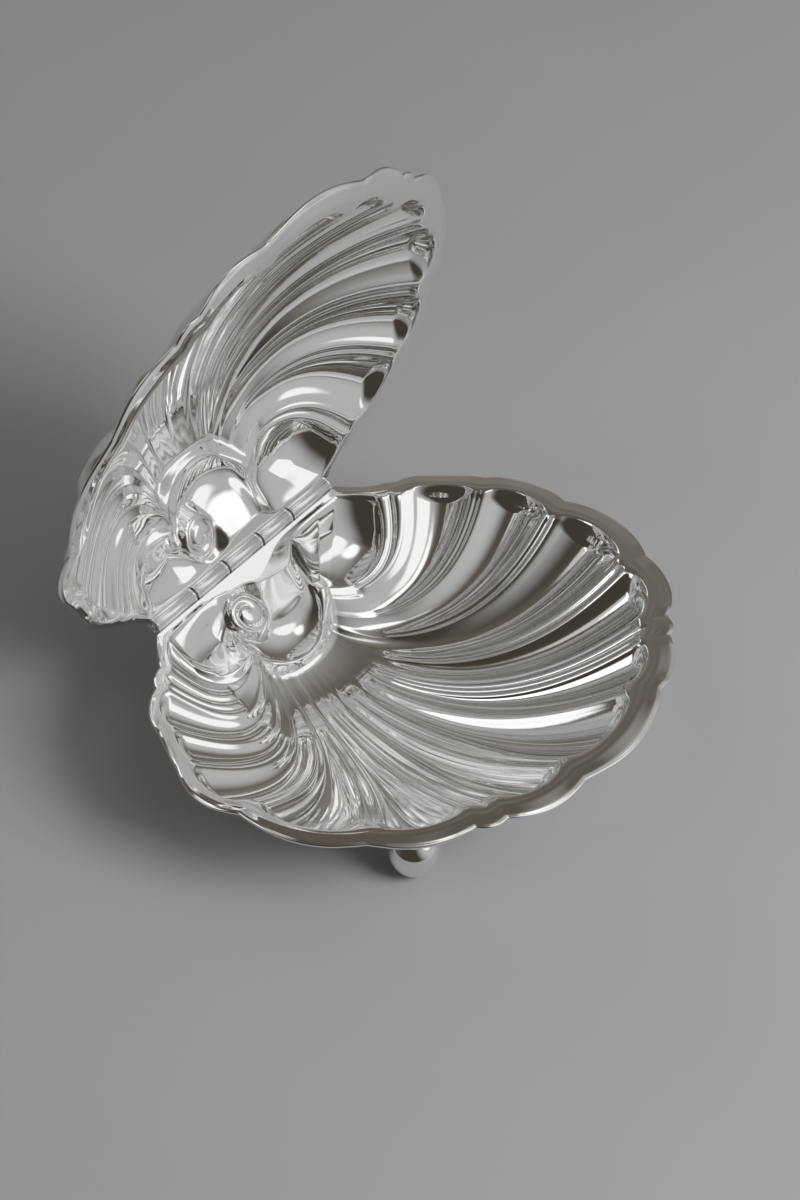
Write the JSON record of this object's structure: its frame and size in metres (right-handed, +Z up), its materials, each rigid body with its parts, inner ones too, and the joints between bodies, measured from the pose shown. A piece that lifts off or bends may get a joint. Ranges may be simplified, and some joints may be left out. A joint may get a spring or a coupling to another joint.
{
  "type": "hinged shell dish",
  "caption": "Hinged serving dish of fluted scallop shells in polished silver plate, base bowl on ball feet, matching lid standing open on a barrel hinge",
  "frame": {"origin": "middle of the open object's bounding box at the height of the table the feet stand on", "axes": "+X along the hinge towards the right end seen from the front, -Y from the hinge out over the base bowl, +Z up"},
  "size_m": [0.1444, 0.1382, 0.1479],
  "materials": {
    "polished_silver_sheet": "silver plate, stamped and polished, lightly worn",
    "polished_silver_cast": "silver plate, turned and polished",
    "hinge_silver": "silver plate, satin from use"
  },
  "bodies": {
    "base": {"base_shell": "polished_silver_sheet", "base_bearer": "hinge_silver", "hinge_knuckle_2": "hinge_silver", "hinge_knuckle_4": "hinge_silver", "foot_ball_front_left": "polished_silver_cast", "foot_ball_front_right": "polished_silver_cast", "foot_ball_back_left": "polished_silver_cast", "foot_ball_back_right": "polished_silver_cast", "foot_neck_front_left": "polished_silver_cast", "foot_neck_front_right": "polished_silver_cast", "foot_neck_back_left": "polished_silver_cast", "foot_neck_back_right": "polished_silver_cast"},
    "lid": {"lid_shell": "polished_silver_sheet", "lid_bearer": "hinge_silver", "hinge_pin": "hinge_silver", "hinge_knuckle_1": "hinge_silver", "hinge_knuckle_3": "hinge_silver", "hinge_knuckle_5": "hinge_silver"}
  },
  "joints": [
    {"name": "lid_hinge", "type": "hinge", "parent": "base", "child": "lid", "pos_m": [-0.00344, 0.05148, 0.02829], "axis": [1, 0, 0], "range_deg": [0, 81.7]}
  ]
}
